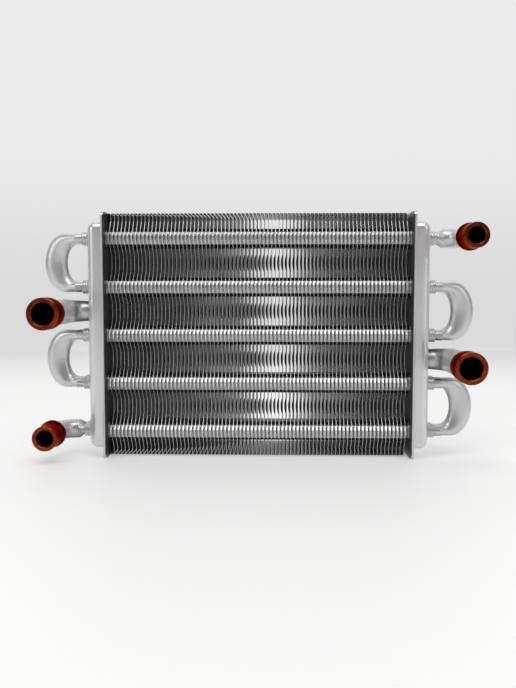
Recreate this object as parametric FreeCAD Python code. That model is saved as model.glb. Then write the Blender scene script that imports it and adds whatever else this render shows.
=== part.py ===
import FreeCAD, Part
import math
import os

# Boiler heat exchanger, standing on the lower ends of its two end plates.
# X runs along the tubes, Y from the pipe ends at the front (-Y) to the back, Z is up.
# The origin is at the bottom, in the middle of the length and of the depth. All sizes are in mm.

# Tube rows
row_count = 5
row_pitch = 36.0
outer_tube_height = 14.4
outer_tube_depth = 24.0
outer_tube_wall = 0.8
outer_tube_stub = 1.0
inner_tube_height = 7.4
inner_tube_depth = 17.0
inner_tube_wall = 0.8

# Fin pack
fin_count = 78
fin_field_length = 225.0
fin_thickness = 0.4
fin_depth = 58.0
fin_fold_radius = 1.2
fin_lip_gap = 0.15
fin_end_clearance = 0.5
fin_nose_to_tube = 2.5
fin_nose_flat = 1.7
fin_nose_half_height = 4.3
fin_nose_recess = 2.2
fin_nose_lip = 1.7
fin_slope_half_height = 12.6
fin_notch_recess = 10.0
fin_end_recess = 8.0

# End plates
plate_height = 182.0
plate_sheet = 1.0
plate_front_reach = 6.0
plate_back_reach = 7.0
plate_hem_thickness = 2.4
plate_hem_to_header = 0.3
plate_corner_radius = 4.0

# Header boxes
header_height = 168.0
header_depth = 34.0
header_reach = 12.5
header_sheet = 1.0
header_corner_radius = 6.0
header_front_reach = 2.5
collar_wall = 0.9
collar_reach = 1.0

# Belled ends of the inner tubes, which take the bends and the hot water pipes
bell_length = 3.4
bell_stand_off = 0.4
bell_wall = 0.8
insert_depth = 2.4

# Return bends
bend_wall = 0.8
bend_crown_width = 16.7
bend_crown_depth = 10.0
bend_crown_reach = 35.0
bend_leg_length = 8.4
bend_straight_length = 9.5
bend_straight_share = 0.3
bend_section_count = 7

# Heating water pipes
heating_pipe_diameter = 18.0
heating_pipe_wall = 1.0
heating_flat_height = 14.8
heating_flat_depth = 20.6
heating_bend_radius = 15.0
heating_pipe_reach = 16.8
heating_spigot_reach = 55.7
heating_spigot_diameter = 22.0
heating_spigot_bore = 15.6
heating_spigot_length = 13.0
heating_socket_length = 5.0
heating_socket_wall = 1.3

# Hot water pipes
water_pipe_diameter = 14.0
water_pipe_wall = 1.0
water_bend_radius = 15.0
water_neck_length = 4.0
water_pipe_reach = 25.8
water_spigot_reach = 28.0
water_spigot_diameter = 18.0
water_spigot_bore = 12.0
water_spigot_length = 19.0
water_spigot_nose = 8.0
water_flange_diameter = 20.0
water_flange_length = 2.0

# Fits
braze_gap = 0.1
ring_groove_width = 2.0
ring_groove_depth = 1.2
ring_land_width = 1.6
edge_break = 0.6

# Values worked out from the sizes above
fin_pitch = fin_field_length / (fin_count + 1)
fin_front = (heating_spigot_reach - fin_depth - plate_back_reach) / 2
tube_y = fin_front + fin_nose_to_tube + outer_tube_depth / 2
middle_z = plate_height / 2
rows_z = [middle_z + row_pitch * ((row_count - 1) / 2 - n) for n in range(row_count)]
plate_inner = fin_field_length / 2
plate_outer = plate_inner + plate_sheet
header_outer = plate_outer + header_reach
bell_end = header_outer + collar_reach + bell_stand_off + bell_length
round_points = 9
least_flat = 0.15
loft_degree = 5
elbow_section_count = 5


def vec(x, y, z):
    return FreeCAD.Vector(x, y, z)


def oval_prism(height, depth, x_start, x_end, z):
    """A flat oval bar along X: two flats joined by half rounds at the front and the back."""
    radius = height / 2
    flat = depth / 2 - radius
    front_low = vec(x_start, tube_y - flat, z - radius)
    front_tip = vec(x_start, tube_y - depth / 2, z)
    front_high = vec(x_start, tube_y - flat, z + radius)
    back_high = vec(x_start, tube_y + flat, z + radius)
    back_tip = vec(x_start, tube_y + depth / 2, z)
    back_low = vec(x_start, tube_y + flat, z - radius)
    outline = Part.Wire([
        Part.Arc(front_low, front_tip, front_high).toShape(),
        Part.LineSegment(front_high, back_high).toShape(),
        Part.Arc(back_high, back_tip, back_low).toShape(),
        Part.LineSegment(back_low, front_low).toShape(),
    ])
    return Part.Face(outline).extrude(vec(x_end - x_start, 0, 0))


def turned(shape):
    """The same piece on the other side: half a turn about the Y line through the middle."""
    copy = shape.copy()
    copy.rotate(vec(0, 0, middle_z), vec(0, 1, 0), 180)
    return copy


def fin_outline():
    """Front noses over the tubes and notches between them, with a straight back edge."""
    top = plate_height - fin_end_clearance
    bottom = fin_end_clearance
    back = fin_front + fin_depth
    corners = [(back, bottom), (back, top), (fin_front + fin_end_recess, top)]
    for n, z in enumerate(rows_z):
        upper = fin_end_recess if n == 0 else fin_notch_recess
        lower = fin_end_recess if n == row_count - 1 else fin_notch_recess
        corners.append((fin_front + upper, z + fin_slope_half_height))
        corners += nose_corners(z)
        corners.append((fin_front + lower, z - fin_slope_half_height))
    corners.append((fin_front + fin_end_recess, bottom))
    points = [vec(0, y, z) for y, z in corners]
    return Part.makePolygon(points + points[:1])


def nose_corners(z):
    """The rounded front of one nose, from its upper to its lower end."""
    return [
        (fin_front + fin_nose_recess, z + fin_nose_half_height),
        (fin_front, z + fin_nose_flat),
        (fin_front, z - fin_nose_flat),
        (fin_front + fin_nose_recess, z - fin_nose_half_height),
    ]


def nose_lip(x_web, z):
    """The narrow strip folded from a nose towards -X, which hides most of the gap to the next fin."""
    front = nose_corners(z)
    behind = [(y + fin_thickness, height) for y, height in reversed(front)]
    points = [vec(x_web + fin_thickness / 2, y, height) for y, height in front + behind]
    return Part.Face(Part.makePolygon(points + points[:1])).extrude(vec(-fin_nose_lip, 0, 0))


def folded_sheet(x_web):
    """A fin seen from the front: an upright web whose ends are folded towards -X."""
    top = plate_height - fin_end_clearance
    bottom = fin_end_clearance
    reach = fin_pitch - fin_thickness - fin_lip_gap
    right = x_web + fin_thickness / 2
    left = x_web - fin_thickness / 2
    lip = left - reach
    outer = fin_fold_radius
    inner = fin_fold_radius - fin_thickness
    bow = math.sqrt(0.5)
    z_top = top - outer
    z_low = bottom + outer
    x_mid = right - outer
    edges = [
        Part.LineSegment(vec(right, 0, z_low), vec(right, 0, z_top)),
        Part.Arc(vec(right, 0, z_top), vec(x_mid + outer * bow, 0, z_top + outer * bow), vec(x_mid, 0, top)),
        Part.LineSegment(vec(x_mid, 0, top), vec(lip, 0, top)),
        Part.LineSegment(vec(lip, 0, top), vec(lip, 0, top - fin_thickness)),
        Part.LineSegment(vec(lip, 0, top - fin_thickness), vec(x_mid, 0, top - fin_thickness)),
        Part.Arc(vec(x_mid, 0, top - fin_thickness), vec(x_mid + inner * bow, 0, z_top + inner * bow),
                 vec(left, 0, z_top)),
        Part.LineSegment(vec(left, 0, z_top), vec(left, 0, z_low)),
        Part.Arc(vec(left, 0, z_low), vec(x_mid + inner * bow, 0, z_low - inner * bow),
                 vec(x_mid, 0, bottom + fin_thickness)),
        Part.LineSegment(vec(x_mid, 0, bottom + fin_thickness), vec(lip, 0, bottom + fin_thickness)),
        Part.LineSegment(vec(lip, 0, bottom + fin_thickness), vec(lip, 0, bottom)),
        Part.LineSegment(vec(lip, 0, bottom), vec(x_mid, 0, bottom)),
        Part.Arc(vec(x_mid, 0, bottom), vec(x_mid + outer * bow, 0, z_low - outer * bow),
                 vec(right, 0, z_low)),
    ]
    face = Part.Face(Part.Wire([edge.toShape() for edge in edges]))
    face.translate(vec(0, fin_front, 0))
    return face.extrude(vec(0, fin_depth, 0))


def make_fin_block():
    """All fins, folded at both ends, on the five outer tubes that carry them."""
    first_x = -plate_inner + fin_pitch
    blank = Part.Face(fin_outline()).extrude(vec(2 * fin_pitch, 0, 0))
    blank.translate(vec(first_x - 1.5 * fin_pitch, 0, 0))
    fin = folded_sheet(first_x).common(blank).fuse([nose_lip(first_x, z) for z in rows_z]).removeSplitter()
    fins = []
    for n in range(fin_count):
        copy = fin.copy()
        copy.translate(vec(n * fin_pitch, 0, 0))
        fins.append(copy)
    tube_end = plate_outer + outer_tube_stub
    tubes = [oval_prism(outer_tube_height, outer_tube_depth, -tube_end, tube_end, z) for z in rows_z]
    block = tubes[0].fuse(tubes[1:] + fins)
    bore_height = outer_tube_height - 2 * outer_tube_wall
    bore_depth = outer_tube_depth - 2 * outer_tube_wall
    bores = [oval_prism(bore_height, bore_depth, -tube_end, tube_end, z) for z in rows_z]
    return block.cut(bores)


def make_end_plate():
    """Left end plate: a flat sheet with its front edge folded outwards into a hem."""
    front = fin_front - plate_front_reach
    back = fin_front + fin_depth + plate_back_reach
    inner = -plate_inner
    fold = plate_hem_thickness / 2
    gap_fold = fold - plate_sheet
    fold_y = front + fold
    hem_end = fin_front - header_front_reach - plate_hem_to_header
    hem_outer = inner - plate_hem_thickness
    edges = [
        Part.LineSegment(vec(inner, back, 0), vec(inner, fold_y, 0)),
        Part.Arc(vec(inner, fold_y, 0), vec(inner - fold, front, 0), vec(hem_outer, fold_y, 0)),
        Part.LineSegment(vec(hem_outer, fold_y, 0), vec(hem_outer, hem_end, 0)),
        Part.LineSegment(vec(hem_outer, hem_end, 0), vec(hem_outer + plate_sheet, hem_end, 0)),
        Part.LineSegment(vec(hem_outer + plate_sheet, hem_end, 0), vec(hem_outer + plate_sheet, fold_y, 0)),
        Part.Arc(vec(hem_outer + plate_sheet, fold_y, 0), vec(inner - fold, fold_y - gap_fold, 0),
                 vec(inner - plate_sheet, fold_y, 0)),
        Part.LineSegment(vec(inner - plate_sheet, fold_y, 0), vec(inner - plate_sheet, back, 0)),
        Part.LineSegment(vec(inner - plate_sheet, back, 0), vec(inner, back, 0)),
    ]
    sheet = Part.Face(Part.Wire([edge.toShape() for edge in edges])).extrude(vec(0, 0, plate_height))
    blank = Part.makeBox(plate_hem_thickness, back - front, plate_height, vec(hem_outer, front, 0))
    corners = [edge for edge in blank.Edges if abs(edge.tangentAt(0).x) > 0.9]
    sheet = sheet.common(blank.makeFillet(plate_corner_radius, corners))
    height = outer_tube_height + 2 * braze_gap
    depth = outer_tube_depth + 2 * braze_gap
    return sheet.cut([oval_prism(height, depth, hem_outer, inner, z) for z in rows_z])


def rounded_pan(x_face, x_open, grow, radius):
    """A box with rounded sides and a rounded outer face, open towards the end plate."""
    front = fin_front - header_front_reach - grow
    low = middle_z - header_height / 2 - grow
    box = Part.makeBox(x_open - x_face, header_depth + 2 * grow, header_height + 2 * grow, vec(x_face, front, low))
    rounded = [edge for edge in box.Edges if edge.BoundBox.XMin < x_open - 0.001]
    return box.makeFillet(radius, rounded)


def make_header_box():
    """Left header box: a pressed pan over the outer tube ends, pierced for the tubes and the pipe."""
    face = -header_outer
    pan = rounded_pan(face, -plate_outer, 0, header_corner_radius)
    inside = rounded_pan(face + header_sheet, -plate_outer, -header_sheet, header_corner_radius - header_sheet)
    tube_height = inner_tube_height + 2 * braze_gap
    tube_depth = inner_tube_depth + 2 * braze_gap
    collars = [oval_prism(tube_height + 2 * collar_wall, tube_depth + 2 * collar_wall,
                          face - collar_reach, face + header_sheet, z) for z in rows_z]
    holes = [oval_prism(tube_height, tube_depth, face - collar_reach, face + header_sheet, z) for z in rows_z]
    pipe_hole = oval_prism(heating_flat_height + 2 * braze_gap, heating_flat_depth + 2 * braze_gap,
                           face, face + header_sheet, heating_z())
    return pan.cut(inside).fuse(collars).cut(holes + [pipe_hole])


def heating_z():
    """The left heating pipe leaves the header halfway between the second and the third row."""
    return (rows_z[1] + rows_z[2]) / 2


def make_inner_tube(z):
    """A flat oval tube through both headers, belled at both ends."""
    bell_height = inner_tube_height + 2 * (braze_gap + bell_wall)
    bell_depth = inner_tube_depth + 2 * (braze_gap + bell_wall)
    tube = oval_prism(inner_tube_height, inner_tube_depth, -bell_end, bell_end, z)
    bells = []
    sockets = []
    for side in (-1, 1):
        start = side * (bell_end - bell_length)
        end = side * bell_end
        bells.append(oval_prism(bell_height, bell_depth, start, end, z))
        sockets.append(oval_prism(inner_tube_height + 2 * braze_gap, inner_tube_depth + 2 * braze_gap,
                                  side * (bell_end - insert_depth), end, z))
    bore = oval_prism(inner_tube_height - 2 * inner_tube_wall, inner_tube_depth - 2 * inner_tube_wall,
                      -bell_end, bell_end, z)
    return tube.fuse(bells).cut([bore] + sockets)


def section_wire(centre, across, along, half_across, half_along, corner):
    """A closed section of two flats and two rounds; `corner` is how far a round reaches lengthwise."""
    flat = half_along - min(corner, half_along - least_flat)
    rounds = []
    ends = []
    for side in (1, -1):
        points = []
        for n in range(round_points):
            angle = math.pi * n / (round_points - 1)
            u = side * half_across * math.cos(angle)
            v = side * (flat + (half_along - flat) * math.sin(angle))
            points.append(centre + across * u + along * v)
        curve = Part.BSplineCurve()
        curve.interpolate(points)
        rounds.append(curve.toShape())
        ends.append((points[0], points[-1]))
    first_flat = Part.LineSegment(ends[0][1], ends[1][0]).toShape()
    last_flat = Part.LineSegment(ends[1][1], ends[0][0]).toShape()
    return Part.Wire([rounds[0], first_flat, rounds[1], last_flat])


def half_bend(shrink, ruled):
    """The upper half of a return bend, with its leg, around the point midway between two rows."""
    half_pitch = row_pitch / 2
    leg_half = inner_tube_height / 2
    root_x = bell_end - insert_depth + bend_leg_length
    crown_x = header_outer + bend_crown_reach
    inner_x = crown_x - bend_crown_width - root_x
    outer_x = crown_x - root_x
    wires = []
    for n in range(bend_section_count):
        turn = n / (bend_section_count - 1)
        rise = math.cos(math.pi / 2 * turn) if turn < 1 else 0
        reach = math.sin(math.pi / 2 * turn)
        inner = vec(-root_x - inner_x * reach, tube_y, (half_pitch - leg_half) * rise)
        straight = bend_straight_length * min(1.0, turn / bend_straight_share)
        sweep = math.pi / 2 * max(0.0, turn - bend_straight_share) / (1 - bend_straight_share)
        outer_rise = math.cos(sweep) if turn < 1 else 0
        outer = vec(-root_x - straight - (outer_x - bend_straight_length) * math.sin(sweep), tube_y,
                    (half_pitch + leg_half) * outer_rise)
        across = outer - inner
        half_across = across.Length / 2 - shrink
        across.normalize()
        half_along = inner_tube_depth / 2 + (bend_crown_depth - inner_tube_depth) / 2 * reach - shrink
        corner = half_along - (half_along - leg_half + shrink) * (1 - reach)
        wires.append(section_wire((inner + outer) / 2, across, vec(0, 1, 0), half_across, half_along, corner))
    crown = Part.makeLoft(wires, True, ruled, False, loft_degree)
    leg = Part.Face(wires[0]).extrude(vec(bend_leg_length, 0, 0))
    return crown.fuse(leg)


def make_return_bend(z):
    """A fat return bend with two flat legs that slip into the bells of two rows."""
    upper = half_bend(0, False).cut(half_bend(bend_wall, True))
    bend = upper.fuse(upper.mirror(vec(0, 0, 0), vec(0, 0, 1)))
    bend.translate(vec(0, 0, z))
    return bend


def elbow_body(start_x, reach, radius, flat_height, flat_depth, diameter, end_y, z, shrink):
    """A flattened end along X that bends to -Y while it becomes round, with a straight round run."""
    centre = vec(-start_x - reach + radius, tube_y - radius, z)
    wires = []
    for n in range(elbow_section_count):
        turn = n / (elbow_section_count - 1)
        angle = math.pi / 2 * turn
        out = vec(-math.sin(angle), math.cos(angle), 0)
        if turn == 1:
            out = vec(-1, 0, 0)
        half_z = flat_height / 2 + (diameter - flat_height) / 2 * turn - shrink
        half_out = flat_depth / 2 + (diameter - flat_depth) / 2 * turn - shrink
        corner = half_z + (half_out - half_z) * turn
        wires.append(section_wire(centre + out * radius, vec(0, 0, 1), out, half_z, half_out, corner))
    elbow = Part.makeLoft(wires, True, False, False, loft_degree)
    stub = Part.Face(wires[0]).extrude(vec(reach - radius, 0, 0))
    run = Part.Face(wires[-1]).extrude(vec(0, end_y - centre.y, 0))
    return elbow.fuse([stub, run])


def necked_elbow_body(shrink):
    """A flat neck in the bell that swells to a round pipe, which bends to -Y and runs to the spigot."""
    neck_x = -(bell_end - insert_depth)
    bend_x = -(header_outer + water_pipe_reach - water_bend_radius)
    swell_x = bend_x + water_neck_length
    z = rows_z[-1]
    up = vec(0, 0, 1)
    across = vec(0, 1, 0)
    half_height = inner_tube_height / 2 - shrink
    round_half = water_pipe_diameter / 2 - shrink
    flat = section_wire(vec(swell_x, tube_y, z), up, across, half_height, inner_tube_depth / 2 - shrink, half_height)
    ring = section_wire(vec(bend_x, tube_y, z), up, across, round_half, round_half, round_half)
    neck = Part.Face(flat).extrude(vec(neck_x - swell_x, 0, 0))
    swell = Part.makeLoft([flat, ring], True, True)
    bend = Part.Face(ring).revolve(vec(bend_x, tube_y - water_bend_radius, z), up, 90)
    front_ring = Part.Face(ring)
    front_ring.rotate(vec(bend_x, tube_y - water_bend_radius, z), up, 90)
    end_y = fin_front - water_spigot_reach + water_spigot_length
    run = front_ring.extrude(vec(0, end_y - tube_y + water_bend_radius, 0))
    return bend.fuse([neck, swell, run])


def make_heating_pipe():
    """Left heating water pipe: flattened into the header, round where it turns to the front."""
    start = header_outer - header_sheet
    reach = heating_pipe_reach + header_sheet
    end_y = fin_front - heating_spigot_reach + heating_spigot_length
    sizes = (start, reach, heating_bend_radius, heating_flat_height, heating_flat_depth,
             heating_pipe_diameter, end_y, heating_z())
    return elbow_body(*sizes, 0).cut(elbow_body(*sizes, heating_pipe_wall))


def make_water_pipe():
    """Left hot water pipe: a flat end in the lowest bell, round where it turns to the front."""
    return necked_elbow_body(0).cut(necked_elbow_body(water_pipe_wall))


def turned_ring(profile, x, front_y, z):
    """A turned piece on a line along Y; the profile lists (distance from the mouth, radius)."""
    points = [vec(x + radius, front_y + depth, z) for depth, radius in profile]
    face = Part.Face(Part.makePolygon(points + points[:1]))
    return face.revolve(vec(x, front_y, z), vec(0, 1, 0), 360)


def grooves(first, count, outer):
    """Profile steps of `count` ring grooves behind one another, starting at `first`."""
    steps = []
    for n in range(count):
        near = first + n * (ring_groove_width + ring_land_width)
        far = near + ring_groove_width
        steps.append((near, outer))
        steps.append((near, outer - ring_groove_depth))
        steps.append((far, outer - ring_groove_depth))
        steps.append((far, outer))
    return steps


def make_heating_spigot():
    """Left heating spigot: a bored nose with two ring grooves and a socket over the pipe."""
    outer = heating_spigot_diameter / 2
    bore = heating_spigot_bore / 2
    socket = heating_pipe_diameter / 2 + braze_gap
    length = heating_spigot_length
    end = length + heating_socket_length
    profile = [(0, bore + edge_break), (0, outer - edge_break), (edge_break, outer)]
    profile += grooves(2 * ring_land_width, 2, outer)
    profile += [(length, outer), (length, socket + heating_socket_wall), (end, socket + heating_socket_wall)]
    profile += [(end, socket), (length, socket), (length, bore), (edge_break, bore)]
    x = -(header_outer + heating_pipe_reach)
    return turned_ring(profile, x, fin_front - heating_spigot_reach, heating_z())


def make_water_spigot():
    """Left hot water spigot: a smooth nose, two ring grooves and a flange at the pipe."""
    outer = water_spigot_diameter / 2
    flange = water_flange_diameter / 2
    bore = water_spigot_bore / 2
    socket = water_pipe_diameter / 2 + braze_gap
    length = water_spigot_length
    end = length + water_flange_length
    profile = [(0, bore + edge_break), (0, outer - edge_break), (edge_break, outer)]
    profile += grooves(water_spigot_nose, 2, outer)
    profile += [(length, outer), (length, flange), (end, flange)]
    profile += [(end, socket), (length, socket), (length, bore), (edge_break, bore)]
    x = -(header_outer + water_pipe_reach)
    return turned_ring(profile, x, fin_front - water_spigot_reach, rows_z[-1])


def save(name, shape):
    """Writes one piece, as one clean solid where it is one."""
    if len(shape.Solids) == 1:
        shape = shape.Solids[0]
    shape.exportStep("parts/" + name + ".step")
    print(name, len(shape.Solids), "solid", round(shape.Volume), "mm3", shape.isValid())


os.makedirs("parts", exist_ok=True)
save("fin_block", make_fin_block())
for row, row_z in enumerate(rows_z, start=1):
    save("inner_tube_" + str(row), make_inner_tube(row_z))
pairs = {
    "end_plate": make_end_plate(),
    "header_box": make_header_box(),
    "heating_pipe": make_heating_pipe(),
    "heating_spigot": make_heating_spigot(),
    "hot_water_pipe": make_water_pipe(),
    "hot_water_spigot": make_water_spigot(),
}
for name, left_piece in pairs.items():
    save(name + "_left", left_piece)
    save(name + "_right", turned(left_piece))
upper_bend = make_return_bend((rows_z[0] + rows_z[1]) / 2)
lower_bend = make_return_bend((rows_z[2] + rows_z[3]) / 2)
save("return_bend_left_upper", upper_bend)
save("return_bend_left_lower", lower_bend)
save("return_bend_right_upper", turned(lower_bend))
save("return_bend_right_lower", turned(upper_bend))
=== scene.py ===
import math

import bpy
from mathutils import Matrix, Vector


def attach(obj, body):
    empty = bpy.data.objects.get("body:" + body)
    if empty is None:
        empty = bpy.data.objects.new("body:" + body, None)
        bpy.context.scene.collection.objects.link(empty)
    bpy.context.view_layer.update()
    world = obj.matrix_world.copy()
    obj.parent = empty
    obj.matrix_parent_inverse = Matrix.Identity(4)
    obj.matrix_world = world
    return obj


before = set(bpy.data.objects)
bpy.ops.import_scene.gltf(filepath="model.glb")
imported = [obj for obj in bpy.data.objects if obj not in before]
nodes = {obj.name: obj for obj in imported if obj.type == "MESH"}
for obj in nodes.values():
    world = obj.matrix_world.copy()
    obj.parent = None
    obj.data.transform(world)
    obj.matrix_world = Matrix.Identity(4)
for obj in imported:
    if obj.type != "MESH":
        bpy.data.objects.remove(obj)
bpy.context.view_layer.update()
scene = bpy.context.scene
print("frame is in")

# the fin pack as the frame holds it: front edge, fins along X, rows of tubes up Z
pack = {"front": -0.00465, "fins": 78, "field": 0.225, "rowPitch": 0.036, "lowestRow": 0.019,
        "rows": 5, "tubeDepth": 0.00985}
finPitch = pack["field"] / (pack["fins"] + 1)
rowHeights = [pack["lowestRow"] + pack["rowPitch"] * row for row in range(pack["rows"])]

# camera, a little to the right of the middle and looking slightly down
view = {"distance": 0.55, "side": 0.012, "height": 0.1265, "pitch": 4.3, "turn": 1.255,
        "lens": 39.1, "sensor": 36}
camData = bpy.data.cameras.new("camera")
camData.lens = view["lens"]
camData.sensor_width = view["sensor"]
cam = bpy.data.objects.new("camera", camData)
cam.location = (view["side"], pack["front"] - view["distance"], view["height"])
cam.rotation_euler = (math.radians(90 - view["pitch"]), 0, math.radians(view["turn"]))
scene.collection.objects.link(cam)
scene.camera = cam
print("camera is set")


# a node with its inputs or its own settings given by name
def addNode(tree, kind, **values):
    node = tree.nodes.new(kind)
    for name, value in values.items():
        if name in node.inputs:
            node.inputs[name].default_value = value
        else:
            setattr(node, name, value)
    return node


# one sum; each value is a number or what another node gives
def worked(tree, operation, *values):
    node = addNode(tree, "ShaderNodeMath", operation=operation)
    for socket, value in zip(node.inputs, values):
        if isinstance(value, (int, float)):
            socket.default_value = value
        else:
            tree.links.new(value, socket)
    return node.outputs["Value"]


# maps a span of values onto low to high and stops there
def ramped(tree, source, span, low=0.0, high=1.0):
    ramp = addNode(tree, "ShaderNodeMapRange")
    ramp.inputs["From Min"].default_value = span[0]
    ramp.inputs["From Max"].default_value = span[1]
    ramp.inputs["To Min"].default_value = low
    ramp.inputs["To Max"].default_value = high
    tree.links.new(source, ramp.inputs["Value"])
    return ramp.outputs["Result"]


# first at a factor of 0, second at 1; each is a colour or what another node gives
def mixed(tree, factor, first, second):
    mix = addNode(tree, "ShaderNodeMix", data_type="RGBA")
    tree.links.new(factor, mix.inputs["Factor"])
    for socket, value in ((mix.inputs["A"], first), (mix.inputs["B"], second)):
        if isinstance(value, tuple):
            socket.default_value = (*value, 1)
        else:
            tree.links.new(value, socket)
    return mix.outputs["Result"]


# the X, Y and Z of a place, a direction or a normal
def partsOf(tree, coords, kind="Object"):
    parts = addNode(tree, "ShaderNodeSeparateXYZ")
    tree.links.new(coords.outputs[kind], parts.inputs["Vector"])
    return parts.outputs


def noiseFrom(tree, coords, scale, detail):
    noise = addNode(tree, "ShaderNodeTexNoise", Scale=scale, Detail=detail)
    tree.links.new(coords.outputs["Object"], noise.inputs["Vector"])
    return noise.outputs["Fac"]


def startMaterial(name):
    mat = bpy.data.materials.new(name)
    mat.use_nodes = True
    return mat, mat.node_tree, mat.node_tree.nodes["Principled BSDF"]


# 1 at each place start + n * pitch, -1 half way between
def wave(tree, along, pitch, start):
    turns = worked(tree, "MULTIPLY_ADD", along, 2 * math.pi / pitch, -2 * math.pi * start / pitch)
    return worked(tree, "COSINE", turns)


# where the fins show their lit silver colour and where painted shade goes on instead; depths
# count from their front edge, the edge, lip, nose and tube-gap spans are in the wave's own
# values, and the facing spans in a normal's
finShadeSpans = {"frontFacing": (-0.35, -0.55), "frontDepth": (0.0145, 0.0120),
            "rearFacing": (0.35, 0.55), "rearDepth": (0.050, 0.054),
            "topFacing": (0.6, 0.8), "topHeight": (0.1806, 0.1810),
            "edge": (0.70, 0.85), "edgeShare": 0.7, "lip": (-1.9, 0.5), "nose": (0.68, 0.74),
            "shadeBesideTube": (0.20, 0.42), "shadeBesideTubeDepth": (0.025, 0.015)}


def behindFront(depths):
    return [pack["front"] + depth for depth in depths]


# lit along each fin's own edge, painted shade between the edges; on the noses the lip
# between two edges is lit too
def finEdgeLight(tree, place):
    across = wave(tree, place["X"], finPitch, pack["field"] / 2)
    upward = wave(tree, place["Z"], pack["rowPitch"], pack["lowestRow"])
    edge = worked(tree, "MULTIPLY", ramped(tree, across, finShadeSpans["edge"]), finShadeSpans["edgeShare"])
    lip = worked(tree, "MULTIPLY", ramped(tree, across, finShadeSpans["lip"]),
                 ramped(tree, upward, finShadeSpans["nose"]))
    return worked(tree, "MAXIMUM", edge, lip)


# where a fin shows its lit silver colour: the front edges, the rear edges and the topmost
# folds; the rest gets painted shade
def finLitShare(tree, normal, place):
    faced = worked(tree, "MULTIPLY", ramped(tree, normal["Y"], finShadeSpans["frontFacing"]),
                   ramped(tree, place["Y"], behindFront(finShadeSpans["frontDepth"])))
    front = worked(tree, "MULTIPLY", faced, finEdgeLight(tree, place))
    rear = worked(tree, "MULTIPLY", ramped(tree, normal["Y"], finShadeSpans["rearFacing"]),
                  ramped(tree, place["Y"], behindFront(finShadeSpans["rearDepth"])))
    top = worked(tree, "MULTIPLY", ramped(tree, normal["Z"], finShadeSpans["topFacing"]),
                 ramped(tree, place["Z"], finShadeSpans["topHeight"]))
    return worked(tree, "MAXIMUM", worked(tree, "MAXIMUM", front, rear), top)


# painted shade on the fins: dark inside the pack, and nearly black close above and below
# each tube, where no light comes through
def finPaintedShade(tree, place, look):
    upward = wave(tree, place["Z"], pack["rowPitch"], pack["lowestRow"])
    near = ramped(tree, place["Y"], behindFront(finShadeSpans["shadeBesideTubeDepth"]))
    gap = worked(tree, "MULTIPLY", ramped(tree, upward, finShadeSpans["shadeBesideTube"]), near)
    return mixed(tree, gap, look["inside"], look["shadeBesideTube"])


# where an end plate gets painted shade instead of its lit silver colour
plateShadeSpan = {"outward": (-0.08, -0.02)}  # span of the normal's X times the place's X, in metres


# all of an end plate but the side that looks at the fins shows its lit silver colour; that
# side gets painted shade
def plateLitShare(tree, normal, place):
    outward = worked(tree, "MULTIPLY", normal["X"], place["X"])
    return ramped(tree, outward, plateShadeSpan["outward"])


# painted shade on the side of an end plate that looks at the fins
def platePaintedShade(tree, place, look):
    return look["inside"]


# painted shade down the water ways: its colour, how open a place is before it fades, samples
bore = {"colour": (0.01, 0.008, 0.007), "openness": (0.25, 0.65), "samples": 8}


# painted shade: the water ways go dark where little light gets in
def shadeWaterWays(tree, colour, reach):
    openness = addNode(tree, "ShaderNodeAmbientOcclusion", Distance=reach,
                       samples=bore["samples"])
    return mixed(tree, ramped(tree, openness.outputs["AO"], bore["openness"]),
                 bore["colour"], colour)


# finishes: two tones and their cloud size, sheen range, grain; "bore" is how deep the painted
# shade in a way reaches, and two more say where a part shows its lit colour and what painted
# shade it gets elsewhere
looks = {
    "fin": {"dark": (0.62, 0.62, 0.63), "light": (0.72, 0.72, 0.73), "roughness": (0.20, 0.30),
            "cloudScale": 40, "grainScale": 900, "bump": 0.12, "metallic": 0.5,
            "litShare": finLitShare, "paintedShade": finPaintedShade, "specular": 0.27,
            # the fins' last two colours are painted shade, inside the pack and beside the tubes
            "inside": (0.036, 0.044, 0.048), "shadeBesideTube": (0.006, 0.007, 0.008)},
    # the tabs' dark tones are painted shade
    "shadedTab": {"dark": (0.10, 0.105, 0.11), "light": (0.17, 0.175, 0.18), "roughness": (0.40, 0.55),
            "cloudScale": 60, "grainScale": 900, "bump": 0.12, "metallic": 0.4},
    "plate": {"dark": (0.62, 0.62, 0.63), "light": (0.70, 0.70, 0.71), "roughness": (0.30, 0.40),
              "cloudScale": 25, "grainScale": 900, "bump": 0.15, "metallic": 0.6,
              "litShare": plateLitShare, "paintedShade": platePaintedShade, "specular": 0.5,
              # painted shade on the side that looks at the fins
              "inside": (0.030, 0.033, 0.035)},
    "header": {"dark": (0.74, 0.74, 0.745), "light": (0.80, 0.80, 0.805),
               "roughness": (0.28, 0.36), "cloudScale": 18, "grainScale": 800, "bump": 0.15,
               "metallic": 0.7},
    "pipe": {"dark": (0.60, 0.60, 0.61), "light": (0.68, 0.68, 0.69), "roughness": (0.28, 0.40),
             "cloudScale": 30, "grainScale": 700, "bump": 0.12, "metallic": 0.7, "bore": 0.025},
    "bell": {"dark": (0.60, 0.60, 0.61), "light": (0.68, 0.68, 0.69), "roughness": (0.28, 0.40),
             "cloudScale": 30, "grainScale": 700, "bump": 0.12, "metallic": 0.6},
    "copper": {"dark": (0.12, 0.018, 0.006), "light": (0.30, 0.054, 0.014),
               "roughness": (0.20, 0.38), "cloudScale": 120, "grainScale": 1400, "bump": 0.2,
               "metallic": 1.0, "bore": 0.012, "edge": (0.82, 0.31, 0.10)},
}
texture = {"cloudDetail": 3.0, "grainDetail": 2.0, "cloudSpan": (0.3, 0.7), "grainDepth": 0.0002}
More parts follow.
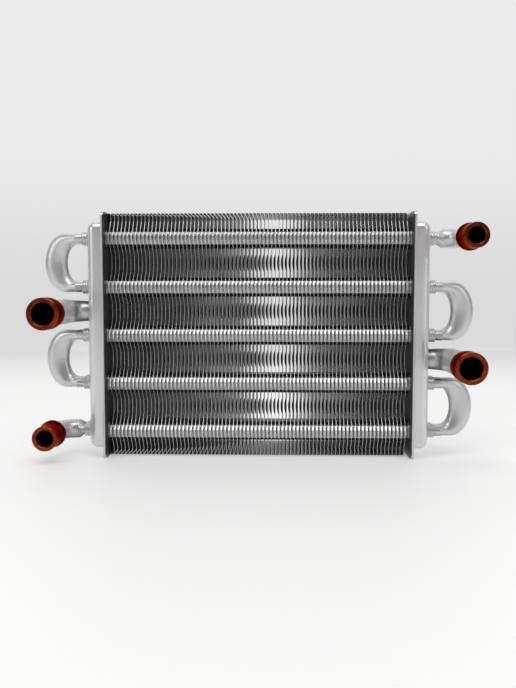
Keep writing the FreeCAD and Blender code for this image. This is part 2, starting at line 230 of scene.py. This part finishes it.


# sprayed silver or bare copper: faint cloudy tone, uneven sheen, fine grain in the surface;
# where a look asks, painted shade inside the fin pack, on the plates' inner sides and in the ways
def metalPaint(name, look):
    mat, tree, shader = startMaterial(name)
    coords = addNode(tree, "ShaderNodeTexCoord")
    cloud = noiseFrom(tree, coords, look["cloudScale"], texture["cloudDetail"])
    grain = noiseFrom(tree, coords, look["grainScale"], texture["grainDetail"])
    colour = mixed(tree, ramped(tree, cloud, texture["cloudSpan"]), look["dark"], look["light"])
    shader.inputs["Metallic"].default_value = look["metallic"]
    # painted shade where the part is not lit, with its metal sheen taken away there
    if "litShare" in look:
        normal = partsOf(tree, coords, "Normal")
        place = partsOf(tree, coords)
        litShare = look["litShare"](tree, normal, place)
        colour = mixed(tree, litShare, look["paintedShade"](tree, place, look), colour)
        tree.links.new(worked(tree, "MULTIPLY", litShare, look["metallic"]),
                       shader.inputs["Metallic"])
        shader.inputs["Specular IOR Level"].default_value = look["specular"]
    # painted shade down the water ways
    if "bore" in look:
        colour = shadeWaterWays(tree, colour, look["bore"])
    if "edge" in look:
        shader.inputs["Specular Tint"].default_value = (*look["edge"], 1)
    tree.links.new(colour, shader.inputs["Base Color"])
    tree.links.new(ramped(tree, cloud, texture["cloudSpan"], *look["roughness"]),
                   shader.inputs["Roughness"])
    bump = addNode(tree, "ShaderNodeBump", Strength=look["bump"], Distance=texture["grainDepth"])
    tree.links.new(grain, bump.inputs["Height"])
    tree.links.new(bump.outputs["Normal"], shader.inputs["Normal"])
    return mat


paints = {kind: metalPaint(kind + "_finish", look) for kind, look in looks.items()}
finishOf = {  # by the start of a node's name
    "fin_block": "fin", "end_plate": "plate", "header_box": "header", "inner_tube": "bell",
    "return_bend": "pipe", "heating_pipe": "pipe", "hot_water_pipe": "pipe",
    "heating_spigot": "copper", "hot_water_spigot": "copper",
}
for nodeName, obj in nodes.items():
    kind = next(finish for start, finish in finishOf.items() if nodeName.startswith(start))
    obj.data.materials.clear()
    obj.data.materials.append(paints[kind])
print("materials are on")


def addMesh(name, verts, faces, paint):
    mesh = bpy.data.meshes.new(name)
    mesh.from_pydata(verts, [], faces)
    mesh.validate()
    obj = bpy.data.objects.new(name, mesh)
    obj.data.materials.append(paint)
    scene.collection.objects.link(obj)
    return obj


# small leaves bent out of each fin at the notches, which hold the next fin at its distance
tabs = {"halfHeight": 0.0062, "reach": 0.0014, "lean": 0.0024, "recess": 0.0112, "sheet": 0.0002,
        "gap": 0.0002, "roundness": 0.6, "steps": 10}


def addNotchTabs():
    verts = []
    faces = []
    root = pack["front"] + tabs["recess"]
    for fin in range(1, pack["fins"]):
        x = -pack["field"] / 2 + finPitch * (fin + 1) - tabs["gap"]
        for row in rowHeights[:-1]:
            middle = row + pack["rowPitch"] / 2
            start = len(verts)
            for step in range(tabs["steps"] + 1):
                share = 2 * step / tabs["steps"] - 1
                swell = math.cos(math.pi / 2 * share) ** tabs["roundness"]
                z = middle + tabs["halfHeight"] * share
                verts.append((x, root, z))
                verts.append((x - tabs["reach"] * swell, root + tabs["lean"] * swell, z))
            for step in range(tabs["steps"]):
                a = start + 2 * step
                faces.append((a, a + 1, a + 3, a + 2))
    # the tabs get a dark finish: painted shade
    obj = addMesh("notch_tabs", verts, faces, paints["shadedTab"])
    thick = obj.modifiers.new("sheet", "SOLIDIFY")
    thick.thickness = tabs["sheet"]
    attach(obj, "root")


addNotchTabs()
print("notch tabs are in")


# brazed beads round the tube ends, outside both headers
beads = {"height": 0.0092, "depth": 0.0188, "places": (0.1272, 0.1291, 0.1309),
         "radius": 0.0005, "bow": 12, "sides": 8}


# points round a flat oval tube, each with its outward direction
def ovalPath(height, depth, bow):
    radius = height / 2
    flat = depth / 2 - radius
    path = []
    for end in (1, -1):
        for step in range(bow + 1):
            angle = math.pi * (step / bow - 0.5)
            out = (end * math.cos(angle), end * math.sin(angle))
            path.append((end * flat + radius * out[0], radius * out[1], out))
    return path


# one bead round the tube of a row; x is its middle
def beadRing(x, row, path, start):
    sides = beads["sides"]
    verts = []
    faces = []
    for y, z, out in path:
        for side in range(sides):
            angle = 2 * math.pi * side / sides
            swell = beads["radius"] * math.cos(angle)
            verts.append((x + beads["radius"] * math.sin(angle),
                          pack["tubeDepth"] + y + swell * out[0], row + z + swell * out[1]))
    for step in range(len(path)):
        here = start + step * sides
        after = start + (step + 1) % len(path) * sides
        for side in range(sides):
            beside = (side + 1) % sides
            faces.append((here + side, after + side, after + beside, here + beside))
    return verts, faces


def addBeads():
    verts = []
    faces = []
    path = ovalPath(beads["height"], beads["depth"], beads["bow"])
    for hand in (-1, 1):
        for row in rowHeights:
            for place in beads["places"]:
                ringVerts, ringFaces = beadRing(hand * place, row, path, len(verts))
                verts += ringVerts
                faces += ringFaces
    obj = addMesh("braze_beads", verts, faces, paints["bell"])
    for face in obj.data.polygons:
        face.use_smooth = True
    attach(obj, "root")


addBeads()
print("braze beads are in")


# table top and the wall far behind it; their glow gives the white background, in tones
# from the front to the wall and from the table up
stageLook = {"halfWidth": 4.0, "front": -3.0, "wall": 0.95, "top": 4.0, "floorStart": -0.60,
             "floorColour": (0.70, 0.69, 0.685), "floorRoughness": 0.50, "wallRoughness": 0.9,
             "floorTones": [(0.0, 0.50), (0.194, 0.325), (0.62, 0.33), (1.0, 0.215)],
             "wallTones": [(0.0, 0.735), (0.012, 0.70), (0.095, 0.70), (0.42, 0.82), (1.0, 0.84)]}


# a matt paint of one colour, with a grey glow that changes along one direction
def stagePaint(name, colour, rough, axis, span, tones):
    mat, tree, shader = startMaterial(name)
    shader.inputs["Base Color"].default_value = (*colour, 1)
    shader.inputs["Roughness"].default_value = rough
    along = partsOf(tree, addNode(tree, "ShaderNodeTexCoord"))[axis]
    ramp = addNode(tree, "ShaderNodeValToRGB")
    ramp.color_ramp.interpolation = "EASE"
    while len(ramp.color_ramp.elements) < len(tones):
        ramp.color_ramp.elements.new(0.5)
    for element, (place, tone) in zip(ramp.color_ramp.elements, tones):
        element.position = place
        element.color = (tone, tone, tone, 1)
    tree.links.new(ramped(tree, along, span), ramp.inputs["Fac"])
    tree.links.new(ramp.outputs["Color"], shader.inputs["Emission Color"])
    shader.inputs["Emission Strength"].default_value = 1.0
    return mat, shader


def addStage():
    side, front = stageLook["halfWidth"], stageLook["front"]
    wall, top = stageLook["wall"], stageLook["top"]
    floorMat, floorShader = stagePaint(
        "floor_white", stageLook["floorColour"], stageLook["floorRoughness"],
        "Y", (stageLook["floorStart"], wall), stageLook["floorTones"])
    wallMat, wallShader = stagePaint(
        "wall_grey", (0.0, 0.0, 0.0), stageLook["wallRoughness"],
        "Z", (0.0, 1.0), stageLook["wallTones"])
    wallShader.inputs["Specular IOR Level"].default_value = 0.0
    floor = addMesh("floor", [(-side, front, 0), (side, front, 0), (side, wall, 0),
                              (-side, wall, 0)], [(0, 1, 2, 3)], floorMat)
    backdrop = addMesh("wall", [(-side, wall, 0), (side, wall, 0), (side, wall, top),
                                (-side, wall, top)], [(0, 1, 2, 3)], wallMat)


addStage()
print("stage is set")


# three softboxes round the part, and a grey sky that is brighter overhead
lamps = {
    "overhead": {"place": (0, -0.5, 1.4), "target": (0, 0, 0.1), "size": (1.4, 0.7), "power": 10},
    "left_front": {"place": (-1.4, -0.9, 0.7), "target": (0, 0, 0.09), "size": (0.5, 0.9),
                   "power": 4},
    "right_front": {"place": (1.4, -0.9, 0.7), "target": (0, 0, 0.09), "size": (0.5, 0.9),
                    "power": 3},
}
sky = {"colour": (0.3, 0.3, 0.3), "heights": (0.0, 0.8), "strengths": (0.40, 0.75)}


def addSoftbox(name, lamp):
    light = bpy.data.lights.new(name, "AREA")
    light.shape = "RECTANGLE"
    light.size, light.size_y = lamp["size"]
    light.energy = lamp["power"]
    obj = bpy.data.objects.new(name, light)
    obj.location = lamp["place"]
    aim = Vector(lamp["target"]) - Vector(lamp["place"])
    obj.rotation_euler = aim.to_track_quat("-Z", "Y").to_euler()
    scene.collection.objects.link(obj)


def addSky():
    world = bpy.data.worlds.new("studio")
    world.use_nodes = True
    tree = world.node_tree
    shader = tree.nodes["Background"]
    height = partsOf(tree, addNode(tree, "ShaderNodeTexCoord"), "Generated")["Z"]
    tree.links.new(ramped(tree, height, sky["heights"], *sky["strengths"]),
                   shader.inputs["Strength"])
    shader.inputs["Color"].default_value = (*sky["colour"], 1)
    scene.world = world


for name, lamp in lamps.items():
    addSoftbox(name, lamp)
addSky()
scene.view_settings.view_transform = "Standard"
print("lights are set")
